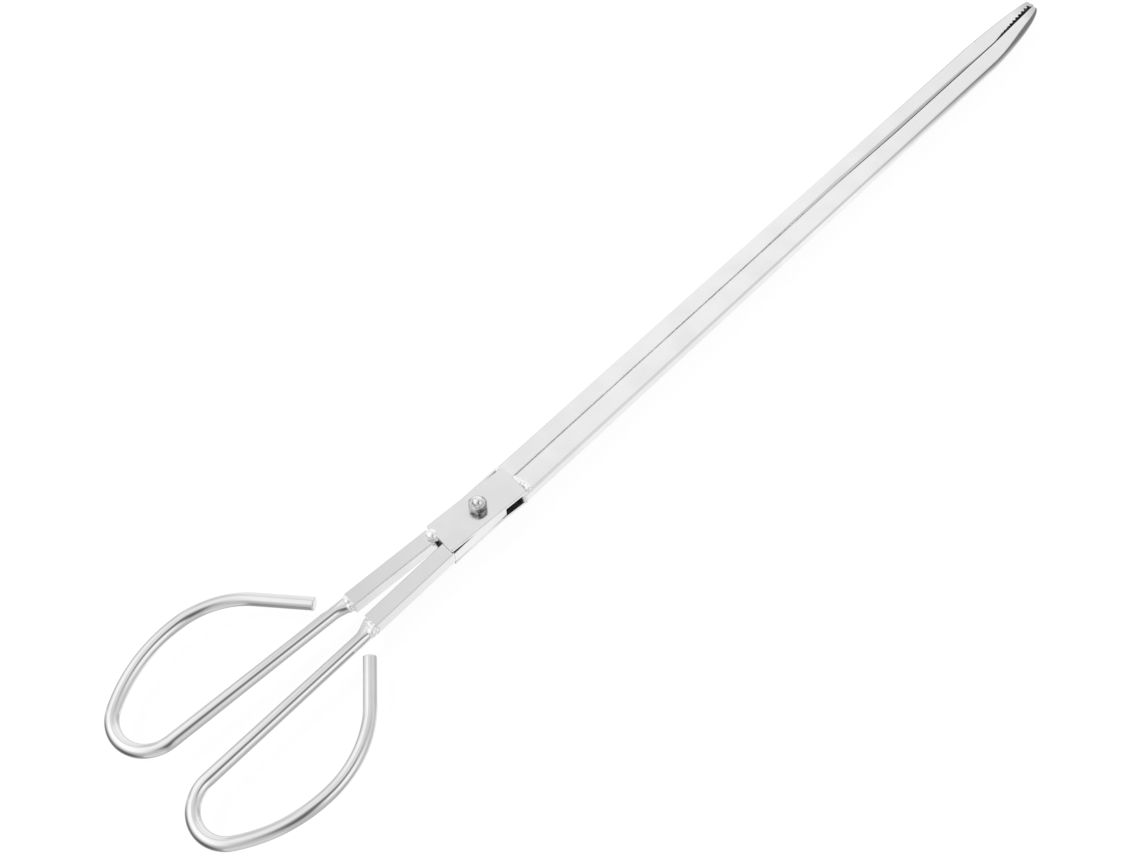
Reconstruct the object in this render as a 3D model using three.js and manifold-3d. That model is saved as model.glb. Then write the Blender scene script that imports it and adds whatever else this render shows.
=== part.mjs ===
// Long scissor-type barbecue tongs: two steel arms crossing at one bolt, each with a wire finger loop,
// a square handle tube, a pivot plate and a long folded jaw with a toothed tip. Millimetres, +Z up.
// The bolt axis is Z, and the origin is under the bolt's head, on the surface that the tongs lie on.
// The jaws point along +X and are closed. Arm A has its plate on top; arm B is under it, its bar, loop
// and jaw turned half a turn about X from arm A's. Sizes and levels are counted from the middle plane
// between the two arms' plates.

import * as THREE from "three";
import { mergeVertices } from "three/addons/utils/BufferGeometryUtils.js";
import Module from "manifold-3d";

// Clearances
const seatGap = 0.3; // between pieces that touch or are welded
const runGap = 0.3; // between pieces that slide on each other
const boltPlay = 0.3; // round the bolt in its holes
const overrun = 3; // how far a cut runs past what it cuts
const mergeDistance = 1e-4; // points nearer than this are one

// Handle bars: square tube
const barLength = 47.2;
const barWidth = 7.4;
const barHeight = 8;
const barWall = 1.2;
const barBend = 1.8; // outer radius of its corners
const barToPivot = 21.5; // from the bolt axis to the bar's near end

// How each handle stands against its jaw
const handleAngleA = 4; // degrees
const handleAngleB = 0;
const handleOffsetA = 4.8; // from the bolt axis to the bar's centre line
const handleOffsetB = 3.7;

// Finger loops: round rod, flattened where it enters the bar, then bent by hand in three arcs
const rodDiameter = 6.2;
const tongueLength = 9; // flattened end, inside the bar
const rodSides = 12;
const rodStep = 2.8; // length of one step along the rod
const loopA = {
  outset: 1.3, // of the straight run, outward from the bar's centre line
  run: 88.9,
  turnRadius: 15.6,
  turnAngle: 141.5, // degrees
  bowRadius: 64.8,
  shoulderRadius: 39.6,
  shoulderAngle: 48, // degrees
  tail: 26.5,
};
const loopB = {
  outset: 2.2,
  run: 88.5,
  turnRadius: 14.7,
  turnAngle: 143,
  bowRadius: 65,
  shoulderRadius: 45,
  shoulderAngle: 48,
  tail: 21.5,
};

// Pivot plate of arm A and pivot bracket of arm B
const plateThickness = 2;
const plateWidth = 17.2;
const plateBack = 22.6; // from the bolt axis to the handle end
const plateFront = 21.8; // to the jaw end
const bracketBackWidth = 14.8; // of the base, at its handle end
const bracketFlare = 2.2; // how far the open front corner stands out past the handle wall
const bracketWall = 1.2;
const wallRampLength = 14; // sloping top of the handle wall
const wallRampDrop = 2.6;
const handleWallReach = 10; // how far the handle wall runs past the bolt axis
const jawWallReach = 3; // how far the jaw wall runs back past the bolt axis

// Jaws: folded channel, open towards the other jaw
const jawHeight = 7;
const jawWall = 1.2;
const jawBend = 1.8;
const jawHalfWidth = 10.1; // from the middle plane to the web's outer face
const jawStart = 20.8; // from the bolt axis
const jawReach = 478.5; // from the bolt axis to the tip
const tipTaper = 66.5; // length over which the tip narrows
const tipForwardPower = 1.5;
const tipSidePower = 1.8;
const tipPoints = 16;
const noseSideA = 1; // from the middle plane to the foremost point of the nose
const noseSideB = 3.8;
const noseBack = 5; // length of the nose's rounding towards the other jaw
const noseWrap = 2; // how far the nose's wall runs on behind the rounding
const noseSteps = 5;

// Seam between the closed jaws: the wide flange covers it on one side, the toothed one is set back
const seamStepStart = 270; // where both edges step over, from the bolt axis
const seamStepEnd = 330;
const coverLap = 0.7; // the wide flange's overlap past the middle plane, up to the step
const coverSetback = 0.5; // its set-back past the step
const coverNoseLap = 0.9; // its overlap at the nose
const coverOpening = 48; // from the tip to where it starts towards the nose
const toothedSetback = 1.3; // the toothed flange's set-back, up to the step
const toothedMidSetback = 0.55; // past the step
const toothedNearSetback = 0.85; // at the first tooth
const toothedNoseSetback = 1.8; // at the nose
const toothPitch = 3.6;
const firstToothDepth = 0.5;
const lastToothDepth = 2.2;
const toothCount = 9;
const toothToTip = 2.9; // from the last tooth to the tip

// Pivot bolt, nut, sleeve and washers
const boltDiameter = 5;
const hexAcrossFlats = 8;
const headHeight = 3.2;
const threadPastPlate = 4.4;
const nutHexHeight = 4;
const nutHeight = 7;
const nutDomeDiameter = 6.4;
const nutBoreShare = 0.72; // of the nut's height
const washerDiameter = 10;
const washerThickness = 0.8;
const sleeveDiameter = 9;
const roundSides = 28;
const nutTurn = -12.6; // degrees
const nutConeShare = 1.02; // the chamfer cone's width at its foot
const nutConeLift = 1.2; // how far the chamfer cone sits above the nut's middle

// Weld beads
const loopBeadRadius = 1.6;
const beadRadius = 2.1;
const beadStep = 1.9;
const beadSides = 10;
const beadStandShare = 0.3; // how far a bead's middle stands off the edge it lies on, of its radius
const beadEndShare = 1.6; // how far its last drop stays from the end of the edge, of its radius
const ringStandShare = 0.55; // how far the ring's drops stand off the bar's end, of their radius
const ringSpreadShare = 0.1; // and off the rod
const blobRadius = 3.1;
const blobFlatShare = 0.72;
const blobInsetShare = 0.9; // from the bar's outer side to the blob's middle, of its radius

// Worked-out sizes and levels
const radians = Math.PI / 180;
const nutConeFoot = (hexAcrossFlats / Math.sqrt(3) + nutHexHeight) * nutConeShare;
const barTop = barHeight / 2;
const plateUnder = barTop + runGap;
const plateTop = plateUnder + plateThickness;
const barFar = barToPivot + barLength;
const rodRadius = rodDiameter / 2;
const holeRadius = boltDiameter / 2 + boltPlay;
const hexRadius = hexAcrossFlats / Math.sqrt(3);
const jawTop = jawHeight / 2;
const headTop = -plateTop - runGap - washerThickness - runGap;
const headUnder = headTop - headHeight;

// Fineness of the bends
const slabBendSteps = 3;
const barBendSteps = 4;

// Colours and finishes
const bright = 0xd9dadb;
const satin = 0xcfd1d3;
const weldGrey = 0xe2e3e4;
const plated = 0xb9bcbf;
const satinFinish = 0.3;
const sheetFinish = 0.25;
const rodFinish = 0.18;
const platedFinish = 0.15;
const sleeveFinish = 0.35;
const weldFinish = 0.4;
const ringFinish = 0.45;
const metalShare = 0.9;

const wasm = await Module();
wasm.setup();

function toSolid(geometry) {
  const bare = geometry.clone();
  bare.deleteAttribute("normal");
  bare.deleteAttribute("uv");
  const merged = mergeVertices(bare, mergeDistance);
  return new wasm.Manifold(
    new wasm.Mesh({
      numProp: 3,
      vertProperties: new Float32Array(merged.attributes.position.array),
      triVerts: new Uint32Array(merged.index.array),
    }),
  );
}

function toGeometry(solid) {
  const mesh = solid.getMesh();
  const geometry = new THREE.BufferGeometry();
  geometry.setAttribute("position", new THREE.BufferAttribute(mesh.vertProperties, 3));
  geometry.setIndex(new THREE.BufferAttribute(mesh.triVerts, 1));
  geometry.computeVertexNormals();
  return geometry;
}

function steel(color, roughness) {
  return new THREE.MeshStandardMaterial({ color, roughness, metalness: metalShare });
}

function named(name, geometry, material) {
  const mesh = new THREE.Mesh(geometry, material);
  mesh.name = name;
  return mesh;
}

// A solid box from its lowest and highest corners
function block(low, high) {
  const size = high.map((value, axis) => value - low[axis]);
  const geometry = new THREE.BoxGeometry(...size);
  geometry.translate(...low.map((value, axis) => value + size[axis] / 2));
  return toSolid(geometry);
}

// A prism standing on a plan outline, between two levels
function prism(points, bottom, top) {
  const shape = new THREE.Shape(points.map(([x, y]) => new THREE.Vector2(x, y)));
  const geometry = new THREE.ExtrudeGeometry(shape, { depth: top - bottom, bevelEnabled: false });
  geometry.translate(0, 0, bottom);
  return toSolid(geometry);
}

// A slab whose plan outline is known at every inset, its top and bottom edges rounded
function roundedSlab(outlineAt, height, radius) {
  const rings = [];
  for (let step = 0; step <= slabBendSteps; step += 1) {
    const angle = (step / slabBendSteps) * (Math.PI / 2);
    const rise = radius * (1 - Math.cos(angle));
    rings.push({ inset: radius * (1 - Math.sin(angle)), level: rise - height / 2 });
  }
  rings.push(...rings.map(({ inset, level }) => ({ inset, level: -level })).reverse());
  const outlines = rings.map(({ inset }) => outlineAt(inset));
  const count = outlines[0].length;
  const vertices = outlines.flatMap((outline, ring) =>
    outline.flatMap(([x, y]) => [x, y, rings[ring].level]),
  );
  const faces = [];
  for (let ring = 0; ring < rings.length - 1; ring += 1) {
    for (let corner = 0; corner < count; corner += 1) {
      const near = ring * count + corner;
      const next = ring * count + ((corner + 1) % count);
      faces.push(near, next, next + count, near, next + count, near + count);
    }
  }
  const contour = outlines[0].map(([x, y]) => new THREE.Vector2(x, y));
  const topStart = (rings.length - 1) * count;
  for (const [a, b, c] of THREE.ShapeUtils.triangulateShape(contour, [])) {
    faces.push(a, c, b, topStart + a, topStart + b, topStart + c);
  }
  const geometry = new THREE.BufferGeometry();
  geometry.setAttribute("position", new THREE.Float32BufferAttribute(vertices, 3));
  geometry.setIndex(faces);
  return toSolid(geometry);
}

function cylinder(radius, bottom, top, sides = roundSides) {
  const geometry = new THREE.CylinderGeometry(radius, radius, top - bottom, sides);
  geometry.rotateX(Math.PI / 2);
  geometry.translate(0, 0, (top + bottom) / 2);
  return toSolid(geometry);
}

// A rounded rectangle about the bar's centre line, set in from the bar's outside
function barSection(inset, path) {
  const across = barWidth / 2 - barBend;
  const up = barTop - barBend;
  const radius = barBend - inset;
  path.absarc(across, up, radius, 0, Math.PI / 2, false);
  path.absarc(-across, up, radius, Math.PI / 2, Math.PI, false);
  path.absarc(-across, -up, radius, Math.PI, 1.5 * Math.PI, false);
  path.absarc(across, -up, radius, 1.5 * Math.PI, 2 * Math.PI, false);
  path.closePath();
  return path;
}

// The handle bar in its arm's handle frame: the tube's section run along X
function barGeometry(offset) {
  const shape = barSection(0, new THREE.Shape());
  shape.holes.push(barSection(barWall, new THREE.Path()));
  const geometry = new THREE.ExtrudeGeometry(shape, {
    depth: barLength,
    bevelEnabled: false,
    curveSegments: barBendSteps,
  });
  // the section's plane turns to YZ and the run to +X
  const turn = new THREE.Matrix4().makeBasis(
    new THREE.Vector3(0, 1, 0),
    new THREE.Vector3(0, 0, 1),
    new THREE.Vector3(1, 0, 0),
  );
  geometry.applyMatrix4(turn);
  geometry.translate(-barFar, offset, 0);
  return toGeometry(toSolid(geometry));
}

// The rod's centre line: from the bar's end, out, round the turn, back over the bow and down the tail
class LoopCurve extends THREE.Curve {
  constructor(offset, loop) {
    super();
    this.start = new THREE.Vector2(-barFar - seatGap, offset + loop.outset);
    this.legs = [
      { length: loop.run - seatGap, radius: 0 },
      { length: loop.turnRadius * loop.turnAngle * radians, radius: loop.turnRadius },
      { length: loop.bowRadius * (180 - loop.turnAngle) * radians, radius: loop.bowRadius },
      { length: loop.shoulderRadius * loop.shoulderAngle * radians, radius: loop.shoulderRadius },
      { length: loop.tail, radius: 0 },
    ];
    this.total = this.legs.reduce((sum, leg) => sum + leg.length, 0);
  }

  getPoint(share, target = new THREE.Vector3()) {
    let left = share * this.total;
    let heading = Math.PI;
    const at = this.start.clone();
    for (const leg of this.legs) {
      const length = Math.min(left, leg.length);
      if (leg.radius > 0) {
        const swing = length / leg.radius;
        at.x += leg.radius * (Math.sin(heading) - Math.sin(heading - swing));
        at.y -= leg.radius * (Math.cos(heading) - Math.cos(heading - swing));
        heading -= swing;
      } else {
        at.x += length * Math.cos(heading);
        at.y += length * Math.sin(heading);
      }
      left -= length;
      if (left <= 0) break;
    }
    return target.set(at.x, at.y, 0);
  }
}

// The flattened end inside the bar, grown by a margin where it is used as a cutter
function tongue(offset, margin) {
  const innerFace = offset - barWidth / 2 + barWall;
  const half = barHeight / 2 - barWall - seatGap + margin;
  const outerFace = offset + barWidth / 2 - barWall;
  return block(
    [-barFar - 2 * seatGap - margin, innerFace + seatGap - margin, -half],
    [-barFar + tongueLength, outerFace - seatGap + margin, half],
  );
}

function loopGeometry(offset, loop) {
  const path = new LoopCurve(offset, loop);
  const section = new THREE.Shape();
  for (let side = 0; side < rodSides; side += 1) {
    const angle = (2 * Math.PI * side) / rodSides;
    const point = [rodRadius * Math.cos(angle), rodRadius * Math.sin(angle)];
    if (side === 0) section.moveTo(...point);
    else section.lineTo(...point);
  }
  section.closePath();
  const steps = Math.round(path.total / rodStep);
  const rod = new THREE.ExtrudeGeometry(section, { steps, bevelEnabled: false, extrudePath: path });
  return toGeometry(toSolid(rod).add(tongue(offset, 0)));
}

// A row of overlapping flattened drops along a line
function beadRow(from, to, radius, flat) {
  const start = new THREE.Vector3(...from);
  const line = new THREE.Vector3(...to).sub(start);
  const drops = Math.max(1, Math.round(line.length() / beadStep));
  let bead = null;
  for (let drop = 0; drop <= drops; drop += 1) {
    const geometry = new THREE.SphereGeometry(radius, beadSides, beadSides / 2 + 1);
    geometry.scale(1, 1, flat);
    const at = start.clone().addScaledVector(line, drop / drops);
    geometry.translate(at.x, at.y, at.z);
    const solid = toSolid(geometry);
    bead = bead ? bead.add(solid) : solid;
  }
  return bead;
}

// The bar's outer space with the weld's gap round it, for cutting beads
function barSpace(offset) {
  const half = barWidth / 2 + seatGap;
  return block(
    [-barFar - seatGap, offset - half, -barTop - seatGap],
    [-barToPivot + seatGap, offset + half, barTop + seatGap],
  );
}

// A ring of drops round the rod joins it to the bar's end
function loopWeldGeometry(offset, loop) {
  const y = offset + loop.outset;
  const ringRadius = rodRadius + loopBeadRadius * ringSpreadShare;
  const drops = Math.round((2 * Math.PI * ringRadius) / beadStep);
  let bead = null;
  for (let drop = 0; drop < drops; drop += 1) {
    const angle = (2 * Math.PI * drop) / drops;
    const geometry = new THREE.SphereGeometry(loopBeadRadius, beadSides, beadSides / 2 + 1);
    geometry.translate(
      -barFar - seatGap - loopBeadRadius * ringStandShare,
      y + ringRadius * Math.cos(angle),
      ringRadius * Math.sin(angle),
    );
    const solid = toSolid(geometry);
    bead = bead ? bead.add(solid) : solid;
  }
  const rodSpace = cylinder(rodRadius + seatGap, 0, barLength).rotate([0, -90, 0]);
  return toGeometry(
    bead
      .subtract(barSpace(offset))
      .subtract(rodSpace.translate([-barFar + overrun, y, 0]))
      .subtract(tongue(offset, seatGap)),
  );
}

// The blob that joins the bar's near end to the plate's back corner
function barWeldGeometry(offset) {
  const outer = offset + barWidth / 2 - blobRadius * blobInsetShare;
  const blob = beadRow(
    [-plateBack, outer, plateUnder + plateThickness / 2],
    [-plateBack - beadStep / 2, outer - blobRadius, plateUnder + plateThickness / 2],
    blobRadius,
    blobFlatShare,
  );
  const plateSpace = block(
    [-plateBack - seatGap, -plateWidth, plateUnder - overrun],
    [plateFront, plateWidth, plateTop + seatGap],
  );
  const under = block(
    [-barFar, -plateWidth, -barTop],
    [plateFront, plateWidth, barTop + seatGap],
  );
  return toGeometry(blob.subtract(plateSpace).subtract(under));
}

// Arm A's plate: flat, in line with its handle
function plateGeometry() {
  const half = plateWidth / 2;
  const plate = prism(
    [[-plateBack, -half], [plateFront, -half], [plateFront, half], [-plateBack, half]],
    plateUnder,
    plateTop,
  );
  return toGeometry(plate.subtract(cylinder(holeRadius, plateUnder - overrun, plateTop + overrun)));
}

// Arm B's bracket: a base with one wall beside the handle end and one beside the jaw end
function bracketGeometry() {
  const handleFace = -handleOffsetB - barWidth / 2;
  const jawFace = jawHalfWidth - seatGap;
  const base = prism(
    [
      [-plateBack, handleFace],
      [0, handleFace],
      [plateFront, handleFace - bracketFlare],
      [plateFront, jawFace],
      [-jawWallReach, jawFace],
      [-plateBack, handleFace + bracketBackWidth],
    ],
    -plateTop,
    -plateUnder,
  );
  const wallStart = seatGap - barToPivot;
  const wallTop = plateUnder - runGap;
  const profile = new THREE.Shape([
    new THREE.Vector2(wallStart, -plateTop),
    new THREE.Vector2(handleWallReach, -plateTop),
    new THREE.Vector2(handleWallReach, wallTop),
    new THREE.Vector2(wallStart + wallRampLength, wallTop),
    new THREE.Vector2(wallStart, wallTop - wallRampDrop),
  ]);
  const wall = new THREE.ExtrudeGeometry(profile, { depth: bracketWall, bevelEnabled: false });
  wall.rotateX(Math.PI / 2);
  wall.translate(0, handleFace + bracketWall, 0);
  const handleWall = toSolid(wall);
  const jawWallSolid = block(
    [-jawWallReach, jawFace - bracketWall, -plateTop],
    [jawStart - seatGap, jawFace, wallTop],
  );
  const whole = base.add(handleWall).add(jawWallSolid);
  return toGeometry(whole.subtract(cylinder(holeRadius, -plateTop - overrun, overrun - plateUnder)));
}

// The jaw's outer edge in plan, inset by a wall's thickness for its hollow
function jawOutline(noseSide, inset) {
  const side = jawHalfWidth - inset;
  const tip = jawReach - inset;
  const taper = tipTaper - inset;
  const points = [];
  for (let step = 0; step <= tipPoints; step += 1) {
    const share = Math.sin((step / tipPoints) * (Math.PI / 2));
    const width = Math.max(0, 1 - share ** tipForwardPower) ** (1 / tipSidePower);
    points.push([tip - taper * (1 - share), -noseSide - (side - noseSide) * width]);
  }
  const back = jawStart - overrun * 2;
  return [[back, -side], ...points, [tip, overrun * 2], [back, overrun * 2]];
}

// What rounds the nose towards the other jaw; grown inward it keeps the nose's wall
function noseCut(noseSide, inset) {
  const along = noseBack - inset;
  const across = noseSide + coverNoseLap - inset;
  const far = jawReach + overrun;
  const edge = [[far, -noseSide]];
  for (let step = 0; step <= noseSteps; step += 1) {
    const angle = (step / noseSteps) * (Math.PI / 2);
    const x = jawReach - noseBack + along * Math.cos(angle);
    edge.push([x, across * Math.sin(angle) - noseSide]);
  }
  if (inset > 0) {
    const wallEnd = jawReach - noseBack - noseWrap;
    edge.push([wallEnd, coverNoseLap - inset], [wallEnd, overrun * 3]);
  } else {
    edge.push([jawReach - noseBack, overrun * 3]);
  }
  edge.push([far, overrun * 3]);
  return prism(edge, -jawHeight, jawHeight);
}

// Everything past a flange's edge, towards the other jaw
function flangeCut(edge, bottom, top) {
  const back = jawStart - overrun * 2;
  const far = jawReach + overrun;
  return prism([...edge, [far, overrun * 3], [back, overrun * 3]], bottom, top);
}

function coverCut() {
  return flangeCut(
    [
      [jawStart - overrun * 2, coverLap],
      [seamStepStart, coverLap],
      [seamStepEnd, -coverSetback],
      [jawReach - coverOpening, -coverSetback],
      [jawReach - noseBack, coverNoseLap],
      [jawReach + overrun, coverNoseLap],
    ],
    0,
    jawTop + overrun,
  );
}

function toothedCut(noseSide) {
  const row = toothCount * toothPitch;
  const firstTooth = jawReach - toothToTip - row;
  const edge = [
    [jawStart - overrun * 2, -toothedSetback],
    [seamStepStart, -toothedSetback],
    [seamStepEnd, -toothedMidSetback],
    [jawReach - coverOpening, -toothedMidSetback],
    [firstTooth, -toothedNearSetback],
  ];
  for (let tooth = 0; tooth < toothCount; tooth += 1) {
    const share = tooth / (toothCount - 1);
    const depth = firstToothDepth + (lastToothDepth - firstToothDepth) * share;
    const near = edge[edge.length - 1];
    const fall = (toothedNoseSetback - toothedNearSetback) / toothCount;
    edge.push([near[0] + toothPitch / 2, near[1] - fall / 2 - depth]);
    edge.push([near[0] + toothPitch, near[1] - fall]);
  }
  const nose = -Math.max(toothedNoseSetback, noseSide);
  edge.push([jawReach, nose], [jawReach + overrun, nose]);
  return flangeCut(edge, -jawTop - overrun, runGap / 2);
}

function jawGeometry(noseSide) {
  const outer = roundedSlab((inset) => jawOutline(noseSide, inset), jawHeight, jawBend);
  const slab = roundedSlab(
    (inset) => jawOutline(noseSide, jawWall + inset),
    jawHeight - 2 * jawWall,
    jawBend - jawWall,
  );
  const hollow = slab.subtract(noseCut(noseSide, jawWall));
  const start = block(
    [jawStart - overrun * 3, -jawHalfWidth - overrun, -jawTop - overrun],
    [jawStart, overrun * 4, jawTop + overrun],
  );
  return toGeometry(
    outer
      .subtract(noseCut(noseSide, 0))
      .subtract(hollow)
      .subtract(coverCut())
      .subtract(toothedCut(noseSide))
      .subtract(start),
  );
}

// The rippled bead along the plate's front edge, over the jaw's start
function jawWeldGeometry(angle) {
  const z = jawTop + seatGap + beadRadius * beadStandShare;
  const x = plateFront + seatGap + beadRadius * beadStandShare;
  const outer = beadRadius * beadEndShare - jawHalfWidth;
  const bead = beadRow([x, outer, z], [x, -beadRadius, z], beadRadius, 1);
  const plateSpace = block(
    [-plateBack, -plateWidth, jawTop],
    [plateFront + seatGap, plateWidth, plateTop + overrun],
  ).rotate([0, 0, -angle]);
  const jawSpace = block(
    [0, -jawHalfWidth - overrun, -jawTop - overrun],
    [jawReach, overrun, jawTop + seatGap],
  );
  return toGeometry(bead.subtract(plateSpace).subtract(jawSpace));
}

function hexPrism(bottom, top) {
  return cylinder(hexRadius, bottom, top, 6).rotate([0, 0, nutTurn]);
}

function boltGeometry() {
  const head = hexPrism(headUnder, headTop);
  const shank = cylinder(boltDiameter / 2, headTop - headHeight / 2, plateTop + threadPastPlate);
  return toGeometry(head.add(shank));
}

function nutGeometry() {
  const bottom = plateTop + runGap;
  const hexTop = bottom + nutHexHeight;
  const hexMiddle = bottom + nutHexHeight / 2;
  const domeRadius = nutDomeDiameter / 2;
  const domeMiddle = bottom + nutHeight - domeRadius;
  const dome = new THREE.SphereGeometry(domeRadius, roundSides, roundSides / 2);
  dome.rotateX(Math.PI / 2);
  dome.translate(0, 0, domeMiddle);
  const cone = new THREE.CylinderGeometry(domeRadius, nutConeFoot, nutHexHeight, roundSides);
  cone.rotateX(Math.PI / 2);
  cone.translate(0, 0, hexMiddle + nutConeLift);
  const foot = cylinder(hexRadius + nutHexHeight, bottom, hexMiddle);
  const hex = hexPrism(bottom, hexTop).intersect(toSolid(cone).add(foot));
  const neck = cylinder(domeRadius, hexMiddle, domeMiddle);
  const bore = cylinder(holeRadius, bottom - overrun, bottom + nutHeight * nutBoreShare);
  return toGeometry(hex.add(neck).add(toSolid(dome)).subtract(bore));
}

function ring(outer, bottom, top) {
  const hole = cylinder(holeRadius, bottom - overrun, top + overrun);
  return toGeometry(cylinder(outer, bottom, top).subtract(hole));
}

// The bar, loop and their welds, in a frame turned by the handle's angle
function handleGroup(letter, offset, angle, loop) {
  const group = new THREE.Group();
  group.rotation.z = -angle * radians;
  group.add(
    named(`handle_bar_${letter}`, barGeometry(offset), steel(satin, satinFinish)),
    named(`finger_loop_${letter}`, loopGeometry(offset, loop), steel(bright, rodFinish)),
    named(`loop_weld_${letter}`, loopWeldGeometry(offset, loop), steel(weldGrey, ringFinish)),
    named(`bar_weld_${letter}`, barWeldGeometry(offset), steel(weldGrey, weldFinish)),
  );
  return group;
}

// The jaw with its weld, in line with X
function jawGroup(letter, noseSide, handleAngle) {
  const group = new THREE.Group();
  group.add(
    named(`jaw_${letter}`, jawGeometry(noseSide), steel(bright, sheetFinish)),
    named(`jaw_weld_${letter}`, jawWeldGeometry(handleAngle), steel(weldGrey, weldFinish)),
  );
  return group;
}

function armA() {
  const handle = handleGroup("a", handleOffsetA, handleAngleA, loopA);
  handle.add(named("pivot_plate_a", plateGeometry(), steel(satin, satinFinish)));
  const group = new THREE.Group();
  group.add(handle, jawGroup("a", noseSideA, handleAngleA));
  return group;
}

function armB() {
  const turned = new THREE.Group();
  turned.rotation.x = Math.PI;
  turned.add(
    handleGroup("b", handleOffsetB, handleAngleB, loopB),
    jawGroup("b", noseSideB, handleAngleB),
  );
  const group = new THREE.Group();
  group.add(turned, named("pivot_bracket_b", bracketGeometry(), steel(satin, satinFinish)));
  return group;
}

function pivot() {
  const low = runGap - plateUnder;
  const high = plateUnder - runGap;
  const inset = washerThickness + seatGap;
  const washer = washerDiameter / 2;
  const headSeat = -plateTop - runGap;
  const headRing = ring(washer, headSeat - washerThickness, headSeat);
  const sleeve = ring(sleeveDiameter / 2, low + inset, high - inset);
  const group = new THREE.Group();
  group.add(
    named("pivot_bolt", boltGeometry(), steel(satin, satinFinish)),
    named("cap_nut", nutGeometry(), steel(plated, platedFinish)),
    named("head_washer", headRing, steel(satin, satinFinish)),
    named("lower_washer", ring(washer, low, low + washerThickness), steel(satin, satinFinish)),
    named("upper_washer", ring(washer, high - washerThickness, high), steel(satin, satinFinish)),
    named("spacer_sleeve", sleeve, steel(satin, sleeveFinish)),
  );
  return group;
}

const tongs = new THREE.Group();
tongs.position.z = -headUnder;
tongs.add(armA(), armB(), pivot());

export default tongs;
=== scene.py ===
"""Long barbecue tongs of polished steel, lying closed on a white studio floor.

Two arms turn on one bolt. Each has a finger loop of round rod, a square handle tube and a long
folded jaw with a toothed tip.
"""

import math
import random

import bmesh
import bpy
from mathutils import Matrix, Vector


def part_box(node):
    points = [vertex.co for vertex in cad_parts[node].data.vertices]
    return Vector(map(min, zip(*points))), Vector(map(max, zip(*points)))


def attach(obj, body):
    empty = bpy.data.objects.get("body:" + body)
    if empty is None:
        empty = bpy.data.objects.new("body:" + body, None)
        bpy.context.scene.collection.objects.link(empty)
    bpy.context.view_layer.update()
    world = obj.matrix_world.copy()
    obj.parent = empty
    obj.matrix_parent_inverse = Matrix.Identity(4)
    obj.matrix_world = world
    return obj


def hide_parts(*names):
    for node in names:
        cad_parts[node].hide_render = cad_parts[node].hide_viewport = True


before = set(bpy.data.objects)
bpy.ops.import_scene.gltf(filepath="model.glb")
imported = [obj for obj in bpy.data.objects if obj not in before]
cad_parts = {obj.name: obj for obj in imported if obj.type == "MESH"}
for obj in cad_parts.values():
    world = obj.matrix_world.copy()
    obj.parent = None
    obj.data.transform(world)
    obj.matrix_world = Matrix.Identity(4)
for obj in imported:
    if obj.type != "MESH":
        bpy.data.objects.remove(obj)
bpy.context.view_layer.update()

MM = 0.001

# Gaps where pieces rest, run past each other and join, and how far cutting shapes overrun
SEAT = 0.3 * MM
RUN = 0.3 * MM
JOINT = 0.03 * MM
OVERRUN = 3 * MM

# Bends, edges and shading
BEND_STEPS = 8
CORNER_STEPS = 6
SHEET_EDGE = 0.12 * MM
MERGE_DISTANCE = 0.002 * MM
FLAT_ANGLE = math.radians(0.5)
BEVEL_ANGLE = math.radians(50)
SHARP_ANGLE = math.radians(40)
ROD_SHARP_ANGLE = math.radians(50)
HEX_SHARP_ANGLE = math.radians(25)
# A face looks one way when its normal points that way by at least this much
SQUARE_ON = 0.9

# Handle bars
BAR_WIDTH = 7.4 * MM
BAR_WALL = 1.2 * MM
BAR_BEND = 0.5 * MM
BAR_INNER_BEND = 0.3 * MM
BAR_LENGTH = 46.3 * MM
BAR_TO_PIVOT = 22.4 * MM
BAR_FAR = BAR_TO_PIVOT + BAR_LENGTH

# Finger loops
ROD_DIAMETER = 6.2 * MM
ROD_RADIUS = ROD_DIAMETER / 2
ROD_SIDES = 40
ROD_STEP = 1.1 * MM
ROD_END_ROUND = 0.5 * MM
ROD_END_STEPS = 4
# Where the rod is beaten flat, against the round rod
CRIMP_LENGTH = 8 * MM
CRIMP_INSIDE = 0.8 * MM
CRIMP_POWER = 0.55
CRIMP_WIDE = 0.9
CRIMP_TALL = 0.76

# The arms, bent by hand, so that the two aren't quite alike. The bar stands at an angle, offset to
# the side of the bolt. The rod is turned against the bar, outset from its middle and flared where
# it is beaten; then come its run, turn, bow, shoulder and tail
ARMS = {
    "a": {
        "angle": math.radians(-4),
        "loop_turn": 0,
        "offset": 4.8 * MM,
        "outset": 1.3 * MM,
        "flare": 0.6,
        "run": 88.9 * MM,
        "turn_radius": 15.6 * MM,
        "turn_angle": math.radians(141.5),
        "bow_radius": 64.8 * MM,
        "shoulder_radius": 39.6 * MM,
        "shoulder_angle": math.radians(48),
        "tail": 26.5 * MM,
    },
    "b": {
        "angle": math.radians(-0.55),
        "loop_turn": math.radians(0.55),
        "offset": 3.7 * MM,
        "outset": 1.54 * MM,
        "flare": 1,
        "run": 88.5 * MM,
        "turn_radius": 14.7 * MM,
        "turn_angle": math.radians(143),
        "bow_radius": 65 * MM,
        "shoulder_radius": 45 * MM,
        "shoulder_angle": math.radians(48),
        "tail": 21.5 * MM,
    },
}
BODY = {"a": "arm_a", "b": "arm_b"}

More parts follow.
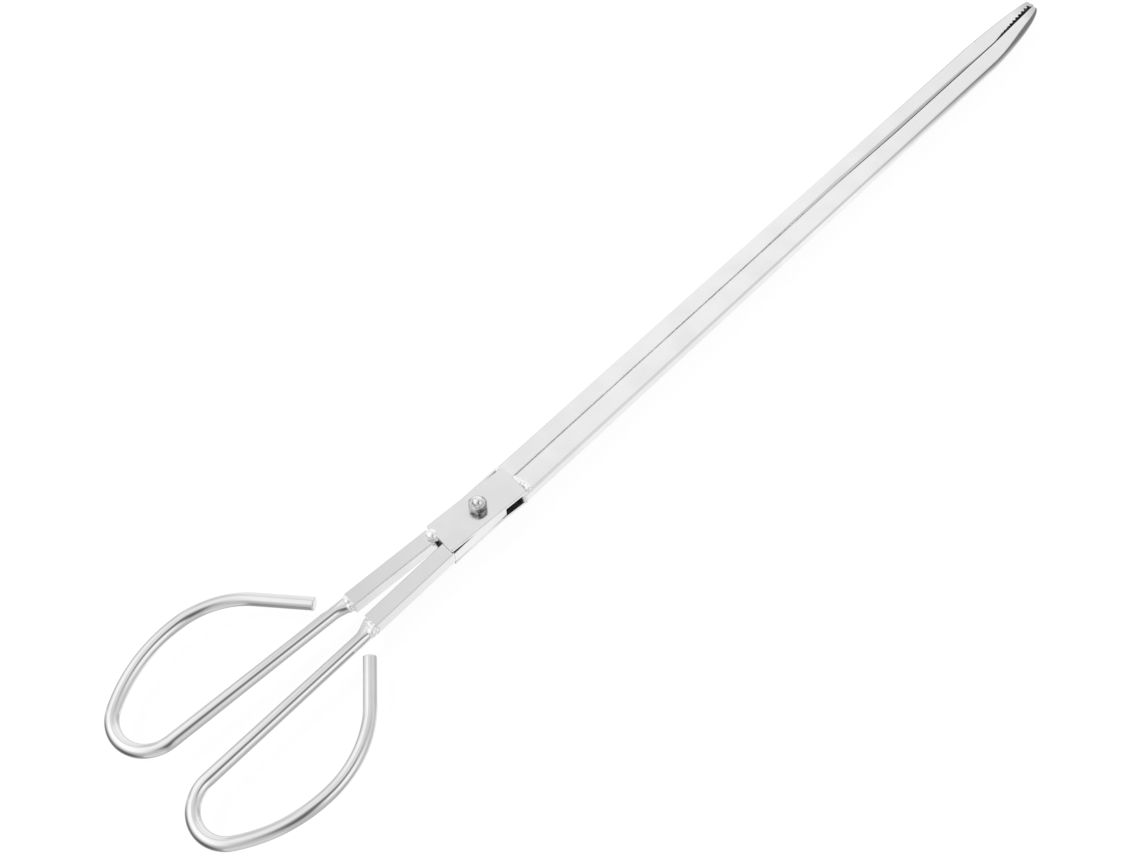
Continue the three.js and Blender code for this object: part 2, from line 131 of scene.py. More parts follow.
# Pivot plate and bracket
PLATE_WIDTH = 17.2 * MM
PLATE_BACK = 22.6 * MM
PLATE_FRONT = 21.8 * MM
PLATE_EDGE = 0.4 * MM
PLATE_CORNER = 0.6 * MM
BRACKET_BACK_WIDTH = 14.8 * MM
BRACKET_FLARE = 1.6 * MM
BRACKET_LEDGE = 0.45 * MM
BRACKET_WALL = 1.2 * MM
RAMP_LENGTH = 16 * MM
RAMP_DROP = 0.9 * MM
HANDLE_WALL_REACH = 10 * MM
JAW_WALL_REACH = 3 * MM
BOLT_HOLE_RADIUS = 2.8 * MM
HOLE_SIDES = 48

# Jaws
JAW_WALL = 1.2 * MM
JAW_BEND = 1 * MM
JAW_INNER_BEND = 0.3 * MM
TIP_BEND = 3.7 * MM
TOOTHED_TIP_BEND = 1.6 * MM
TIP_BEND_START = 422 * MM
TIP_BEND_END = 462 * MM
JAW_HALF_WIDTH = 10.1 * MM
JAW_START = 20.8 * MM
BEHIND_JAW = JAW_START - 2 * OVERRUN
TIP_TAPER = 66.5 * MM
TIP_FORWARD_POWER = 1.5
TIP_SIDE_POWER = 1.8
TIP_POINTS = 56
# How far the nose stands to the side of the middle, and how far the jaw reaches
NOSES = {"a": (1 * MM, 478.5 * MM), "b": (5.6 * MM, 478.3 * MM)}
NOSE_BACK = 5 * MM
NOSE_WRAP = 2 * MM
NOSE_STEPS = 14
FAR_END = 482 * MM

# The wide flange's edge, with a shallow slope along it
SEAM_STEP_START = 270 * MM
SEAM_STEP_END = 330 * MM
COVER_LAP = 0.7 * MM
COVER_SETBACK = 0.3 * MM
COVER_NOSE_LAP = 0.9 * MM
COVER_OPENING = 430.5 * MM
COVER_END = 473.5 * MM
COVER_EDGE = (
    (BEHIND_JAW, COVER_LAP),
    (SEAM_STEP_START, COVER_LAP),
    (SEAM_STEP_END, -COVER_SETBACK),
    (COVER_OPENING, -COVER_SETBACK),
    (COVER_END, COVER_NOSE_LAP),
    (FAR_END, COVER_NOSE_LAP),
)
LIP_WIDTH = 1.3 * MM
LIP_DROP = 0.2 * MM
LIP_PAST = 2 * MM

# The toothed flange's edge
TOOTHED_SETBACK = 1.3 * MM
TOOTHED_MID_SETBACK = 0.35 * MM
TOOTHED_NEAR_SETBACK = 1.2 * MM
TOOTHED_NOSE_SETBACK = 2.5 * MM
TOOTHED_NOSE_LIP = 1.4 * MM
LAST_TOOTH_RISE = 0.9 * MM
TOOTH_PITCH = 3.6 * MM
FIRST_TOOTH_DEPTH = 0.4 * MM
LAST_TOOTH_DEPTH = 1.8 * MM
TOOTH_COUNT = 10
TEETH_END = 475.6 * MM
# It is rolled down behind the teeth: a place along X, the edge there and a share of the full roll
ROLL_WIDTH = 1.8 * MM
ROLL_MID_WIDTH = 1.1 * MM
ROLL_MID_FALL = 0.11 * MM
ROLL_FALL = 0.6 * MM
ROLL_PAST = 1 * MM
ROLLED_EDGE = (
    (200 * MM, -TOOTHED_SETBACK, 0.05),
    (SEAM_STEP_START, -TOOTHED_SETBACK, 0.9),
    (SEAM_STEP_END, -TOOTHED_MID_SETBACK, 1),
    (400 * MM, -TOOTHED_MID_SETBACK, 0.85),
    (COVER_OPENING, -TOOTHED_MID_SETBACK, 0.05),
)

# Bolt, nut, sleeve and washers
ACROSS_FLATS = 8 * MM
NUT_HEX_HEIGHT = 3.7 * MM
NUT_FACE_RADIUS = 3.3 * MM
NUT_DOME_RADIUS = 2.95 * MM
NUT_TURN = math.radians(-12.6)
NUT_SIDES = 96
NUT_ROUND = 4.25 * MM
NUT_HEX_SHARE = 0.55
# The nut's worn foot, from the bottom up: a share of its width at a height
NUT_FOOT = ((0.8, 0), (0.9, 0.4 * MM), (1, 1.3 * MM))
NUT_CHAMFER_SLOPE = math.tan(math.radians(32))
NUT_FILLET = 0.35 * MM
NUT_FILLET_STEPS = 6
NUT_DOME_STEPS = 14
BOLT_RADIUS = 2.5 * MM
BOLT_END_SHARE = 0.75
HEAD_FACE_RADIUS = ACROSS_FLATS * 0.46
HEAD_CHAMFER_SLOPE = 0.6
RING_SIDES = 72
WASHER_EDGE = 0.12 * MM

# Welds: each arm's seeds for its loop, its bar and its jaw, and how drops are fused
WELD_SEEDS = {"a": (3, 5, 7), "b": (8, 6, 9)}
WELD_VOXEL = 0.22 * MM
WELD_SMOOTHING = 3
DROP_DETAIL = 3
# Their drops follow in millimetres, a pair being a range for the dice. First those round the rod
ROUND_DROPS = 7
ROUND_JITTER = 0.25
ROUND_BACK = (0.3, 2.3)
ROUND_IN = 0.6
ROUND_REACH_SHARE = 0.75
ROUND_FLATNESS = 0.8
ROUND_RADII = (1.6, 2.1)
# Three by three drops over the bar's end
END_FORWARD = 0.7
END_INSET = 1.6
END_RADII = (1.5, 1.75)
# One large drop, on arm B only
LARGE_BACK = 2.5
LARGE_OUT = 1.2
LARGE_DOWN = 0.9
LARGE_RADIUS = 2.6
# The blob on the plate's back edge, on arm A only
BLOB_BACK = 0.9
BLOB_IN = 4.2
BLOB_DOWN = 0.1
BLOB_RADIUS = 2.8
BLOB_FLATNESS = 0.75
# The seam between bar and plate
SEAM_DROPS = 4
SEAM_BACK = (0.2, 0.8)
SEAM_START = 2.4
SEAM_LENGTH = 4.2
SEAM_DOWN = 0.8
SEAM_RADII = (1.5, 1.8)
SEAM_FLATNESS = 0.8
SEAM_SIZE = {"a": 1, "b": 0.7}
# The bead along the plate's front edge
BEAD_DROPS = 6
BEAD_FORWARD = (0.6, 2.2)
BEAD_START = 1.4
BEAD_LENGTH = 7.6
BEAD_UP = 0.8
BEAD_RADII = (1.7, 2.2)
# Its drip down the jaw's corner, each drop a step further
DRIP_DROPS = 5
DRIP_BACK = 1.9
DRIP_FORWARD_STEP = 0.25
DRIP_IN = 1.3
DRIP_DOWN_STEP = 1.65
DRIP_RADIUS = 1.6
DRIP_RADIUS_STEP = 0.05

# Painted dark reflection on the jaws' sides towards the tips: where it starts and is full, along
# the jaws and up their walls
TIP_REFLECTION_COLOUR = (0.26, 0.26, 0.26)
TIP_REFLECTION_START = 0.275
TIP_REFLECTION_FULL = 0.415
TIP_REFLECTION_LOW = 9 * MM
TIP_REFLECTION_HIGH = 12 * MM
# It spares faces that look straight up or down, except at the nose
TIP_REFLECTION_FLAT = 0.995
TIP_REFLECTION_SIDE = 0.9
NOSE_REFLECTION = 0.6
NOSE_REFLECTION_START = 0.46
NOSE_REFLECTION_END = 0.482

# The nut's flats carry painted shade, dark towards -Y; their unshaded colour, from where it starts
# to where it is full, along Y
NUT_FLATS_UNSHADED = (0.62, 0.62, 0.62)
NUT_FLATS_UNSHADED_START = -0.5 * MM
NUT_FLATS_UNSHADED_FULL = 2.4 * MM

# Painted shade in the welds' hollows, by the surface's pointiness, which is 0.5 where it is flat
WELD_HOLLOW_SHADE = (0.3, 0.295, 0.29)
WELD_HOLLOW_SHADE_START = 0.49
WELD_HOLLOW_SHADE_FULL = 0.41

# Studio
WHITE = (1, 1, 1, 1)
FLOOR_HALF = 6
FLOOR_GLOW_SHARE = 0.88
FLOOR_GLOW = 1.02
WORLD_LEVEL = 0.9
LAMP_SIZE = (0.8, 0.5)
LAMP_POWER = 8
LAMP_PLACE = (-0.5, 0.9, 1.2)
LAMP_AIM = (0.05, 0, 0)
LOW_SKY = 0.84
# What polished metal mirrors, each patch in degrees: bearing from +X, elevation, half width,
# half height, softness and brightness
SKY_PATCHES = (
    (45, 40, 400, 37, 0.29, 0.68),
    (90, -71, 400, 55, 0.23, 0.5),
    (269, 27, 81, 62, 0.25, 0.55),
    (325, -52, 14, 15, 0.51, 0.89),
    (286, 28, 27, 21, 0.81, 1.04),
    (291, 64, 38, 10, 0.5, 0.27),
    (249, 60, 29, 18, 0.87, 0.09),
    (254, 40, 12, 25, 0.76, 0.14),
    (21, 13, 44, 22, 0.89, 0.99),
    (128, 53, 74, 23, 0.63, 1.1),
    (83, -60, 39, 54, 0.39, 1.09),
    (90, -6, 12, 44, 0.47, 0.57),
    (138, -10, 20, 21, 0.59, 0.22),
    (175, -16, 30, 28, 0.65, 0.12),
    (102, 7, 10, 35, 0.28, 0.5),
    (190, -48, 17, 8, 0.33, 0.28),
    (226, -27, 21, 33, 0.16, 0.68),
    (345, -9, 13, 25, 0.9, 0.52),
    (51, -77, 54, 55, 0.63, 1.08),
    (70, 40, 9, 33, 0.25, 0.63),
    (225, 95, 33, 32, 0.83, 0.81),
    (43, 46, 26, 12, 0.3, 0.91),
    (97, 35, 12, 25, 0.78, 1.0),
    (71, 56, 12, 12, 0.9, 0.75),
    (286, -37, 14, 28, 0.32, 0.46),
    (302, -89, 16, 37, 0.88, 1.09),
    (337, -42, 9, 10, 0.5, 1.0),
    (298, -60, 12, 9, 0.5, 1.06),
    (295, -66, 14, 5, 0.5, 0.9),
)

# Camera: worked out from the photograph's perspective, its image 1140 by 855 pixels
IMAGE_WIDTH = 1140
IMAGE_HEIGHT = 855
CAMERA_ELEVATION = math.radians(56.5)
CAMERA_TURN = math.radians(47.4)
FOCAL_PIXELS = 1210
PIVOT_PIXEL = (478, 507.5)
PIVOT_PIXELS_PER_METRE = 2250
SENSOR_WIDTH = 36
CLIP_START = 0.01
CLIP_END = 50


# Levels and places, from the frame


def levels(node):
    """The lowest and the highest level of a solid in the frame."""
    return [corner.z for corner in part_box(node)]


BAR_LOW, BAR_HIGH = levels("handle_bar_a")
JAW_LOW, JAW_HIGH = levels("jaw_a")
PLATE_LOW, PLATE_HIGH = levels("pivot_plate_a")
MIDDLE = (BAR_LOW + BAR_HIGH) / 2
# Arm A stands as it is built, arm B is turned over about the X axis at the middle plane
LIFT = Matrix.Translation((0, 0, MIDDLE))
PLACE = {"a": LIFT, "b": LIFT @ Matrix.Rotation(math.pi, 4, "X")}
HANDLE_PLACE = {
    letter: PLACE[letter] @ Matrix.Rotation(ARMS[letter]["angle"], 4, "Z") for letter in ARMS
}


# Meshes


def put_in_scene(name, data):
    obj = bpy.data.objects.new(name, data)
    bpy.context.scene.collection.objects.link(obj)
    return obj


def new_object(name, verts, faces, place=None):
    """A mesh object from plain points and faces, moved to its place."""
    mesh = bpy.data.meshes.new(name)
    mesh.from_pydata([tuple(v) for v in verts], [], faces)
    if place is not None:
        mesh.transform(place)
    mesh.validate()
    return put_in_scene(name, mesh)


def face_outward(obj):
    """Turns every face of a closed mesh outward."""
    work = bmesh.new()
    work.from_mesh(obj.data)
    bmesh.ops.recalc_face_normals(work, faces=work.faces)
    work.to_mesh(obj.data)
    work.free()


def bake(obj):
    """Applies the object's modifiers to its mesh."""
    depsgraph = bpy.context.evaluated_depsgraph_get()
    fresh = bpy.data.meshes.new_from_object(obj.evaluated_get(depsgraph))
    old = obj.data
    obj.modifiers.clear()
    obj.data = fresh
    bpy.data.meshes.remove(old)


def combine(obj, tool, operation="DIFFERENCE"):
    """Cuts the tool away from the object, or joins it on, and removes the tool."""
    modifier = obj.modifiers.new("combine", "BOOLEAN")
    modifier.operation = operation
    modifier.solver = "EXACT"
    modifier.object = tool
    bake(obj)
    mesh = tool.data
    bpy.data.objects.remove(tool)
    bpy.data.meshes.remove(mesh)


def shade(obj, sharp_angle=SHARP_ANGLE):
    """Smooth shading with sharp edges above an angle, flat faces kept flat."""
    obj.data.shade_smooth()
    obj.data.set_sharp_from_angle(angle=sharp_angle)
    obj.modifiers.new("weighted", "WEIGHTED_NORMAL").keep_sharp = True
    bake(obj)


def soften(obj, width, segments=2):
    """Rounds the sharp edges by a small width and shades the mesh smooth between them."""
    work = bmesh.new()
    work.from_mesh(obj.data)
    bmesh.ops.remove_doubles(work, verts=work.verts, dist=MERGE_DISTANCE)
    bmesh.ops.dissolve_limit(work, angle_limit=FLAT_ANGLE, verts=work.verts, edges=work.edges)
    work.to_mesh(obj.data)
    work.free()
    bevel = obj.modifiers.new("soften", "BEVEL")
    bevel.width = width
    bevel.segments = segments
    bevel.limit_method = "ANGLE"
    bevel.angle_limit = BEVEL_ANGLE
    bevel.use_clamp_overlap = True
    bevel.miter_outer = "MITER_ARC"
    bake(obj)
    shade(obj)


def loft(rings, closed=False):
    """Points and faces of a skin over rings, with flat ends or closed in a round."""
    count = len(rings[0])
    verts = [point for ring in rings for point in ring]
    faces = []
    for level in range(len(rings) if closed else len(rings) - 1):
        base = level * count
        above = (level + 1) % len(rings) * count
        for index in range(count):
            after = (index + 1) % count
            faces.append((base + index, base + after, above + after, above + index))
    if not closed:
        last = (len(rings) - 1) * count
        faces.append(tuple(reversed(range(count))))
        faces.append(tuple(range(last, last + count)))
    return verts, faces


def skin(name, rings, place=None, closed=False):
    """A solid inside a skin over rings, its faces turned outward."""
    obj = new_object(name, *loft(rings, closed), place)
    face_outward(obj)
    return obj


def prism(name, outline, low, high, place=None):
    """A solid on a plan outline that runs anticlockwise, between two levels."""
    rings = [[(x, y, z) for x, y in outline] for z in (low, high)]
    return new_object(name, *loft(rings), place)


def block(name, low, high):
    """A box between two corners."""
    outline = [(low[0], low[1]), (high[0], low[1]), (high[0], high[1]), (low[0], high[1])]
    return prism(name, outline, low[2], high[2])


def rounded(corners, steps=CORNER_STEPS):
    """An anticlockwise outline with arcs at its corners, each corner an (x, y, radius)."""
    outline = []
    for index, (x, y, radius) in enumerate(corners):
        here = Vector((x, y))
        before = Vector(corners[index - 1][:2])
        after = Vector(corners[(index + 1) % len(corners)][:2])
        into = (here - before).normalized()
        away = (after - here).normalized()
        half_turn = into.angle(away) / 2
        setback = radius * math.tan(half_turn)
        inward = (away - into).normalized()
        centre = here + inward * (radius / math.cos(half_turn))
        start = here - into * setback - centre
        for step in range(steps + 1):
            spoke = Matrix.Rotation(2 * half_turn * step / steps, 2) @ start
            outline.append(tuple(centre + spoke))
    return outline


def full_turn(count, start=0):
    """Angles evenly round a circle."""
    return [2 * math.pi * side / count + start for side in range(count)]


def quarter_turn(steps):
    """Angles from 0 to a quarter turn, both included."""
    return [step / steps * math.pi / 2 for step in range(steps + 1)]


def eased(value, start, end):
    """How far a value is on its way from start to end, 0 to 1, slow at both ends."""
    share = min(1, max(0, (value - start) / (end - start)))
    return share * share * (3 - 2 * share)


def finish_piece(obj, node, body, slot, *materials):
    """Gives the piece its materials, hides its CAD node and makes it ride on its body. Its slot is
    not used.
    """
    indices = [face.material_index for face in obj.data.polygons]
    obj.data.materials.clear()
    for material in materials:
        obj.data.materials.append(material)
    obj.data.polygons.foreach_set("material_index", indices)
    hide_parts(node)
    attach(obj, body)


# Shader nodes


def feed(tree, value, socket):
    """Gives a socket a plain number or another node's output."""
    if isinstance(value, (int, float)):
        socket.default_value = value
    else:
        tree.links.new(value, socket)


def calculate(tree, operation, *values):
    """A math node on outputs and plain numbers; returns its output."""
    node = tree.nodes.new("ShaderNodeMath")
    node.operation = operation
    for value, socket in zip(values, node.inputs):
        feed(tree, value, socket)
    return node.outputs[0]


def ramp(tree, value, start, end, low=0, high=1, soft=False):
    """Goes from low to high as the value goes from start to end, and stays there."""
    node = tree.nodes.new("ShaderNodeMapRange")
    if soft:
        node.interpolation_type = "SMOOTHSTEP"
    feed(tree, value, node.inputs["Value"])
    feed(tree, start, node.inputs["From Min"])
    feed(tree, end, node.inputs["From Max"])
    feed(tree, low, node.inputs["To Min"])
    feed(tree, high, node.inputs["To Max"])
    return node.outputs["Result"]


def split(tree, kind, output):
    """The X, Y and Z of a vector that a new node of a kind puts out."""
    source = tree.nodes.new(kind)
    parts = tree.nodes.new("ShaderNodeSeparateXYZ")
    tree.links.new(source.outputs[output], parts.inputs[0])
    return parts.outputs


def mix_shaders(tree, share, first, second):
    """Two shader nodes mixed by a share of the second; returns the mixing node."""
    mix = tree.nodes.new("ShaderNodeMixShader")
    feed(tree, share, mix.inputs["Fac"])
    tree.links.new(first.outputs[0], mix.inputs[1])
    tree.links.new(second.outputs[0], mix.inputs[2])
    return mix


def group_input(group, name, value):
    socket = group.interface.new_socket(name=name, in_out="INPUT", socket_type="NodeSocketFloat")
    socket.default_value = value


def group_output(group, name):
    group.interface.new_socket(name=name, in_out="OUTPUT", socket_type="NodeSocketFloat")


def polishing_group():
    """Fine polishing lines that run along X."""
    group = bpy.data.node_groups.new("polishing lines", "ShaderNodeTree")
    group_input(group, "Lines per metre", 9000)
    group_input(group, "Stretch", 60)
    group_output(group, "Lines")
    nodes, links = group.nodes, group.links
    source = nodes.new("NodeGroupInput")
    target = nodes.new("NodeGroupOutput")
    place = nodes.new("ShaderNodeTexCoord")
    across = source.outputs["Lines per metre"]
    scale = nodes.new("ShaderNodeCombineXYZ")
    links.new(calculate(group, "DIVIDE", across, source.outputs["Stretch"]), scale.inputs["X"])
    links.new(across, scale.inputs["Y"])
    links.new(across, scale.inputs["Z"])
    stretched = nodes.new("ShaderNodeVectorMath")
    stretched.operation = "MULTIPLY"
    links.new(place.outputs["Object"], stretched.inputs[0])
    links.new(scale.outputs[0], stretched.inputs[1])
    lines = nodes.new("ShaderNodeTexNoise")
    lines.inputs["Scale"].default_value = 1
    lines.inputs["Detail"].default_value = 3
    links.new(stretched.outputs[0], lines.inputs["Vector"])
    links.new(lines.outputs["Fac"], target.inputs["Lines"])
    return group


def handling_group():
    """Soft clouds, where handling and heat have dulled the steel a little."""
    group = bpy.data.node_groups.new("handling marks", "ShaderNodeTree")
    group_input(group, "Clouds per metre", 60)
    group_input(group, "Low", 0.4)
    group_input(group, "High", 0.65)
    group_output(group, "Mask")
    nodes, links = group.nodes, group.links
    source = nodes.new("NodeGroupInput")
    target = nodes.new("NodeGroupOutput")
    place = nodes.new("ShaderNodeTexCoord")
    clouds = nodes.new("ShaderNodeTexNoise")
    clouds.inputs["Detail"].default_value = 4
    links.new(place.outputs["Object"], clouds.inputs["Vector"])
    links.new(source.outputs["Clouds per metre"], clouds.inputs["Scale"])
    mask = ramp(group, clouds.outputs["Fac"], source.outputs["Low"], source.outputs["High"])
    links.new(mask, target.inputs["Mask"])
    return group


POLISHING = polishing_group()
HANDLING = handling_group()


# Materials


def steel(name, colours, roughness, lines, depth, clouds=60, metallic=1):
    """Bare steel: clouds of handling between two colours, polishing lines in roughness and bump."""
    material = bpy.data.materials.new(name)
    material.use_nodes = True
    tree = material.node_tree
    nodes, links = tree.nodes, tree.links
    shader = nodes["Principled BSDF"]
    shader.inputs["Metallic"].default_value = metallic
    polishing = nodes.new("ShaderNodeGroup")
    polishing.node_tree = POLISHING
    polishing.inputs["Lines per metre"].default_value = lines
    handling = nodes.new("ShaderNodeGroup")
    handling.node_tree = HANDLING
    handling.inputs["Clouds per metre"].default_value = clouds
    tint = nodes.new("ShaderNodeMix")
    tint.data_type = "RGBA"
    for socket, colour in zip("AB", colours):
        tint.inputs[socket].default_value = (*colour, 1)
    links.new(handling.outputs["Mask"], tint.inputs["Factor"])
    links.new(tint.outputs["Result"], shader.inputs["Base Color"])
    worn = calculate(tree, "MULTIPLY", polishing.outputs["Lines"], handling.outputs["Mask"])
    smooth, rough = roughness
    links.new(ramp(tree, worn, 0, 1, smooth, rough), shader.inputs["Roughness"])
    bump = nodes.new("ShaderNodeBump")
    bump.inputs["Distance"].default_value = depth
    bump.inputs["Strength"].default_value = 1
    links.new(polishing.outputs["Lines"], bump.inputs["Height"])
    links.new(bump.outputs["Normal"], shader.inputs["Normal"])
    return material


def lay_over(material, mask, colour):
    """Lays a colour over the material's own, as far as the mask says."""
    nodes, links = material.node_tree.nodes, material.node_tree.links
    base = nodes["Principled BSDF"].inputs["Base Color"]
    before = base.links[0].from_socket
    mix = nodes.new("ShaderNodeMix")
    mix.data_type = "RGBA"
    mix.inputs["B"].default_value = (*colour, 1)
    links.new(mask, mix.inputs["Factor"])
    links.new(before, mix.inputs["A"])
    links.new(mix.outputs["Result"], base)


def paint_tip_reflection(material):
    """Paints a dark reflection on the sides of the jaws towards the tips."""
    tree = material.node_tree
    where = split(tree, "ShaderNodeTexCoord", "Object")
    along = ramp(tree, where["X"], TIP_REFLECTION_START, TIP_REFLECTION_FULL)
    up = ramp(tree, where["Z"], TIP_REFLECTION_LOW, TIP_REFLECTION_HIGH, soft=True)
    spread = calculate(tree, "MULTIPLY", along, up)
    facing = split(tree, "ShaderNodeNewGeometry", "Normal")
    flat = calculate(tree, "ABSOLUTE", facing["Z"])
    side = ramp(tree, flat, TIP_REFLECTION_FLAT, TIP_REFLECTION_SIDE, soft=True)
    nose = ramp(tree, where["X"], NOSE_REFLECTION_START, NOSE_REFLECTION_END, high=NOSE_REFLECTION)
    reflecting = calculate(tree, "MAXIMUM", side, nose)
    lay_over(material, calculate(tree, "MULTIPLY", spread, reflecting), TIP_REFLECTION_COLOUR)


def paint_shade_on_nut_flats(material):
    """Paints shade on the nut's flats: dark towards -Y, turning to their unshaded colour towards
    +Y.
    """
    where = split(material.node_tree, "ShaderNodeTexCoord", "Object")
    side = ramp(material.node_tree, where["Y"], NUT_FLATS_UNSHADED_START, NUT_FLATS_UNSHADED_FULL, soft=True)
    lay_over(material, side, NUT_FLATS_UNSHADED)


def paint_shade_in_weld_hollows(material):
    """Paints shade in the hollows between the weld's drops."""
    shape = material.node_tree.nodes.new("ShaderNodeNewGeometry")
    hollow = ramp(material.node_tree, shape.outputs["Pointiness"], WELD_HOLLOW_SHADE_START, WELD_HOLLOW_SHADE_FULL)
    lay_over(material, hollow, WELD_HOLLOW_SHADE)


SHEET = steel(
    "polished sheet",
    colours=((0.95, 0.95, 0.95), (0.92, 0.92, 0.925)),
    roughness=(0.16, 0.28),
    lines=9000,
    depth=0.002 * MM,
)
# Painted dark reflection on the jaws' sides towards the tips
paint_tip_reflection(SHEET)
PLATE_SHEET = steel(
    "plate sheet",
    colours=((0.9, 0.9, 0.905), (0.87, 0.87, 0.88)),
    roughness=(0.18, 0.3),
    lines=9000,
    depth=0.002 * MM,
)
BAR_SHEET = steel(
    "handle sheet",
    colours=((0.86, 0.86, 0.865), (0.84, 0.84, 0.85)),
    roughness=(0.12, 0.2),
    lines=8000,
    depth=0.002 * MM,
)
ROD = steel(
    "polished rod",
    colours=((0.91, 0.91, 0.915), (0.88, 0.88, 0.89)),
    roughness=(0.02, 0.05),
    lines=5000,
    depth=0.001 * MM,
    clouds=90,
)
WELD = steel(
    "weld metal",
    colours=((0.98, 0.98, 0.98), (0.95, 0.95, 0.94)),
    roughness=(0.2, 0.45),
    lines=3000,
    depth=0.006 * MM,
    clouds=700,
    metallic=0.7,
)
# Painted shade in the weld's hollows
paint_shade_in_weld_hollows(WELD)
PLATED = steel(
    "plated fastener",
    colours=((0.93, 0.93, 0.93), (0.85, 0.85, 0.85)),
    roughness=(0.04, 0.12),
    lines=6000,
    depth=0.001 * MM,
    clouds=300,
)
# The nut's flats, darkened with painted shade
SHADED_NUT_FLATS = steel(
    "plated nut flats, painted shade",
    colours=((0.5, 0.5, 0.5), (0.07, 0.07, 0.07)),
    roughness=(0.08, 0.3),
    lines=2500,
    depth=0.02 * MM,
    clouds=600,
)
paint_shade_on_nut_flats(SHADED_NUT_FLATS)
# Rough and unpolished, and darkened with painted shade: the plate's underside and the bracket's
# insides
PIVOT_SHADE = steel(
    "unpolished inside, painted shade",
    colours=((0.22, 0.22, 0.22), (0.1, 0.1, 0.1)),
    roughness=(0.5, 0.8),
    lines=3000,
    depth=0.01 * MM,
    clouds=200,
)
# The jaws' insides: rougher and unpolished, their darker colour painted shade
JAW_INSIDE_SHADE = steel(
    "dull inside, painted shade",
    colours=((0.62, 0.62, 0.62), (0.5, 0.5, 0.5)),
    roughness=(0.4, 0.6),
    lines=3000,
    depth=0.01 * MM,
    clouds=200,
)


# Finger loops


def loop_path(arm):
    """Points along the rod's middle, each with its heading and its distance from the bar."""
    legs = [
        (arm["run"] + CRIMP_INSIDE, 0),
        (arm["turn_radius"] * arm["turn_angle"], arm["turn_radius"]),
        (arm["bow_radius"] * (math.pi - arm["turn_angle"]), arm["bow_radius"]),
        (arm["shoulder_radius"] * arm["shoulder_angle"], arm["shoulder_radius"]),
        (arm["tail"], 0),
    ]
    at = Vector((-BAR_FAR + CRIMP_INSIDE, arm["offset"] + arm["outset"], 0))
    heading = math.pi + arm["loop_turn"]
    walked = -CRIMP_INSIDE
    path = [(at, heading, walked)]
    for length, radius in legs:
        steps = max(2, round(length / ROD_STEP))
        step = length / steps
        for _ in range(steps):
            swing = step / radius if radius else 0
            heading -= swing / 2
            at = at + Vector((math.cos(heading), math.sin(heading), 0)) * step
            heading -= swing / 2
            walked += step
            path.append((at, heading, walked))
    return path


def rod_section(walked, flare):
    """The rod's outline at a distance from the bar: beaten flat and wide at the bar, then round."""
    share = eased(walked, -CRIMP_INSIDE, CRIMP_LENGTH)
    power = CRIMP_POWER + (1 - CRIMP_POWER) * share
    wide = ROD_RADIUS * (CRIMP_WIDE + (1 - CRIMP_WIDE) * share)
    tall = ROD_RADIUS * (CRIMP_TALL + (1 - CRIMP_TALL) * share)
    outline = []
    for angle in full_turn(ROD_SIDES):
        across = math.copysign(abs(math.cos(angle)) ** power, math.cos(angle))
        if across > 0:
            across *= 1 + flare * (1 - share)
        up = math.copysign(abs(math.sin(angle)) ** power, math.sin(angle))
        outline.append((across * wide, up * tall))
    return outline


def rod_ring(centre, heading, outline):
    """An outline stood up across the rod's heading."""
    across = Vector((-math.sin(heading), math.cos(heading), 0))
    return [centre + across * u + Vector((0, 0, v)) for u, v in outline]


def finger_loop(letter):
    path = loop_path(ARMS[letter])
    end, end_heading, length = path[-1]
    rings = []
    for at, heading, walked in path:
        if walked < length - ROD_END_ROUND:
            rings.append(rod_ring(at, heading, rod_section(walked, ARMS[letter]["flare"])))
    forward = Vector((math.cos(end_heading), math.sin(end_heading), 0))
    for turn in quarter_turn(ROD_END_STEPS):
        radius = ROD_RADIUS - ROD_END_ROUND * (1 - math.cos(turn))
        centre = end - forward * ROD_END_ROUND * (1 - math.sin(turn))
        outline = [(radius * math.cos(a), radius * math.sin(a)) for a in full_turn(ROD_SIDES)]
        rings.append(rod_ring(centre, end_heading, outline))
    obj = skin(f"loop_rod_{letter}", rings, HANDLE_PLACE[letter])
    shade(obj, ROD_SHARP_ANGLE)
    finish_piece(obj, f"finger_loop_{letter}", BODY[letter], "wire_steel", ROD)


# Handle bars


def bar_ring(centre, inset, x):
    """The tube's section at one end, set in from its outside."""
    side = BAR_WIDTH / 2 - inset
    top = (BAR_HIGH - BAR_LOW) / 2 - inset
    bend = BAR_INNER_BEND if inset else BAR_BEND
    corners = [
        (centre - side, -top, bend),
        (centre + side, -top, bend),
        (centre + side, top, bend),
        (centre - side, top, bend),
    ]
    return [(x, y, z) for y, z in rounded(corners, BEND_STEPS)]


def handle_bar(letter):
    centre = ARMS[letter]["offset"]
    rings = [
        bar_ring(centre, 0, -BAR_FAR),
        bar_ring(centre, 0, -BAR_TO_PIVOT),
        bar_ring(centre, BAR_WALL, -BAR_TO_PIVOT),
        bar_ring(centre, BAR_WALL, -BAR_FAR),
    ]
    obj = skin(f"handle_tube_{letter}", rings, HANDLE_PLACE[letter], closed=True)
    soften(obj, SHEET_EDGE)
    finish_piece(obj, f"handle_bar_{letter}", BODY[letter], "sheet_steel", BAR_SHEET)


# Jaws


def bend_at(x, inset, tip_bend):
    """The radius of the jaw's folded edges: tight along the jaw, wide where the tip is round."""
    share = eased(x, TIP_BEND_START, TIP_BEND_END)
    return max(JAW_INNER_BEND, JAW_BEND + (tip_bend - JAW_BEND) * share - inset)


